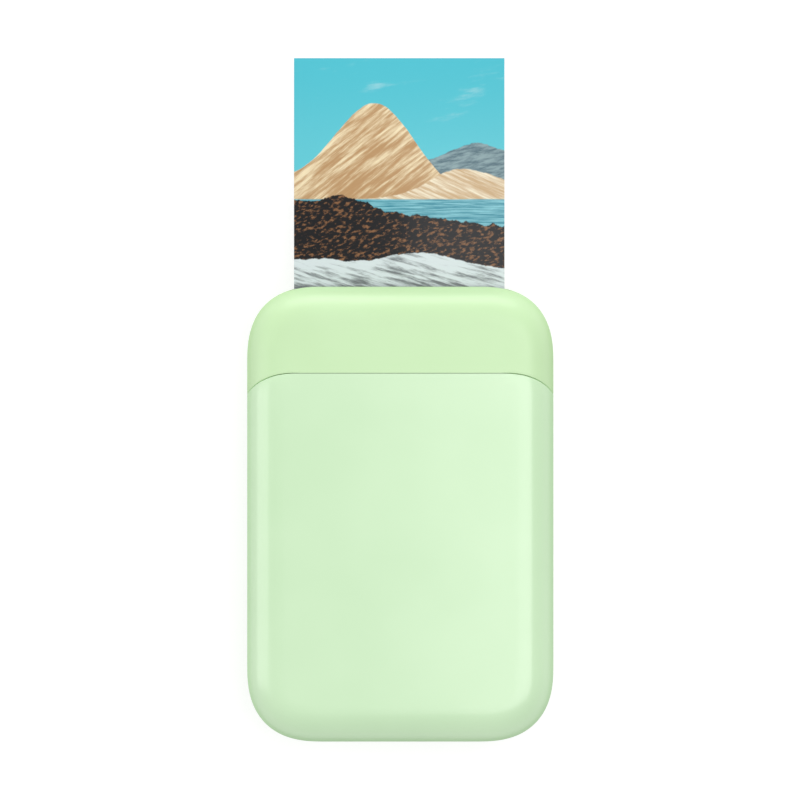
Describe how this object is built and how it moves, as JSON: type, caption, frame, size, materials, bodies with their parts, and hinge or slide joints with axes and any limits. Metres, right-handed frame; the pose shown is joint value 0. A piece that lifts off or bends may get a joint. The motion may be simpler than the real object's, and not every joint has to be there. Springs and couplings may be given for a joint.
{
  "type": "pocket photo printer",
  "caption": "Rounded pocket photo printer with a hinged front cover, a fixed cap over the print head and a print standing out of its end slot.",
  "frame": {"origin": "centre of the foot ring's face, on the surface that the printer lies on", "axes": "+Z out of the front cover, +Y the way a print leaves, +X to the right seen from the front"},
  "size_m": [0.074, 0.165, 0.023],
  "materials": {
    "mint_gloss": "pearl gloss",
    "mint_satin": "satin",
    "inner_plastic": "fine texture",
    "black_plastic": "fine texture",
    "rubber_grey": "matt",
    "roller_rubber": "ground",
    "steel": "plated",
    "brass": "machined",
    "aluminium": "milled",
    "gear_nylon": "moulded",
    "ceramic_head": "fired",
    "paper_print": "coated, glossy print",
    "paper_blank": "coated",
    "board_mask": "solder mask",
    "chip_black": "moulded",
    "flex_amber": "polyimide film",
    "battery_foil": "laminate pouch",
    "foam_grey": "adhesive foam",
    "wire_red": "sleeved wire",
    "cream_plastic": "moulded",
    "clear_lens": "clear"
  },
  "bodies": {
    "base": {"top_cap": "mint_satin", "rear_housing": "mint_satin", "foot_ring": "rubber_grey", "hinge_pin": "steel", "exit_guide": "black_plastic", "chassis": "black_plastic", "tray_bezel": "inner_plastic", "keeper_plates": "steel", "paper_stack": "paper_blank", "pick_bushings": "cream_plastic", "platen_bushings": "cream_plastic", "gear_pins": "steel", "motor_can": "steel", "motor_flange": "steel", "motor_screws": "steel", "head_bridge": "steel", "head_springs": "steel", "head_flex": "flex_amber", "main_board": "board_mask", "board_chips": "chip_black", "flex_connector": "cream_plastic", "usb_socket": "steel", "button_switch": "black_plastic", "light_pipe": "clear_lens", "battery": "battery_foil", "battery_pad": "foam_grey", "battery_lead": "wire_red", "battery_plug": "cream_plastic", "case_screws": "steel", "bezel_screws": "steel", "board_screws": "steel"},
    "cover": {"front_cover": "mint_gloss", "cover_magnets": "steel", "plate_springs": "steel"},
    "pressure_plate": {"pressure_plate": "inner_plastic"},
    "print": {"print_sheet": "paper_print"},
    "platen": {"platen_shaft": "steel", "platen_sleeve": "roller_rubber", "platen_gear": "gear_nylon", "drive_gear": "gear_nylon"},
    "pick": {"pick_shaft": "steel", "pick_tyres": "roller_rubber", "pick_gear": "gear_nylon"},
    "idler": {"idler_gear": "gear_nylon"},
    "reduction": {"reduction_gear": "gear_nylon"},
    "motor_rotor": {"motor_pinion": "brass"},
    "head": {"print_head": "ceramic_head", "heat_sink": "aluminium"},
    "power_button": {"power_button": "mint_satin", "button_plunger": "inner_plastic"}
  },
  "joints": [
    {"name": "cover_hinge", "type": "hinge", "parent": "base", "child": "cover", "pos_m": [0, -0.0531, 0.012], "axis": [1, 0, 0], "range_deg": [0, 95]},
    {"name": "plate_float", "type": "slide", "parent": "cover", "child": "pressure_plate", "axis": [0, 0, 1], "range_m": [0, 0.0009], "stiffness_N_per_m": 150, "springref_m": -0.002, "deforming": ["plate_springs"]},
    {"name": "print_slide", "type": "slide", "parent": "base", "child": "print", "axis": [0, 1, 0], "range_m": [-0.0822, 0.0092]},
    {"name": "platen_spin", "type": "hinge", "parent": "base", "child": "platen", "pos_m": [0, 0.043, 0.01075], "axis": [1, 0, 0], "range_deg": [-166, 1473]},
    {"name": "pick_spin", "type": "hinge", "parent": "base", "child": "pick", "pos_m": [0, 0.02, 0.00995], "axis": [1, 0, 0], "range_deg": [-133, 1179]},
    {"name": "idler_spin", "type": "hinge", "parent": "base", "child": "idler", "pos_m": [0, 0.032, 0.01037], "axis": [1, 0, 0], "range_deg": [-843, 96]},
    {"name": "reduction_spin", "type": "hinge", "parent": "base", "child": "reduction", "pos_m": [0, 0.03618, 0.01075], "axis": [1, 0, 0], "range_deg": [-2700, 303]},
    {"name": "motor_spin", "type": "hinge", "parent": "base", "child": "motor_rotor", "pos_m": [0, 0.02829, 0.0068], "axis": [1, 0, 0], "range_deg": [-807, 7197]},
    {"name": "head_lift", "type": "hinge", "parent": "base", "child": "head", "pos_m": [0, 0.0335, 0.0166], "axis": [1, 0, 0], "range_deg": [0, 2], "stiffness_Nm_per_rad": 0.036, "springref_deg": -11.46, "deforming": ["head_springs"]},
    {"name": "button_press", "type": "slide", "parent": "base", "child": "power_button", "axis": [-1, 0, 0], "range_m": [0, 0.0005], "stiffness_N_per_m": 1200}
  ],
  "couplings": [
    {"joint": "platen_spin", "follows": "print_slide", "rad_per_m": -312.5},
    {"joint": "pick_spin", "follows": "print_slide", "rad_per_m": -250},
    {"joint": "idler_spin", "follows": "print_slide", "rad_per_m": 178.57},
    {"joint": "reduction_spin", "follows": "print_slide", "rad_per_m": 572.92},
    {"joint": "motor_spin", "follows": "print_slide", "rad_per_m": -1527.8}
  ]
}
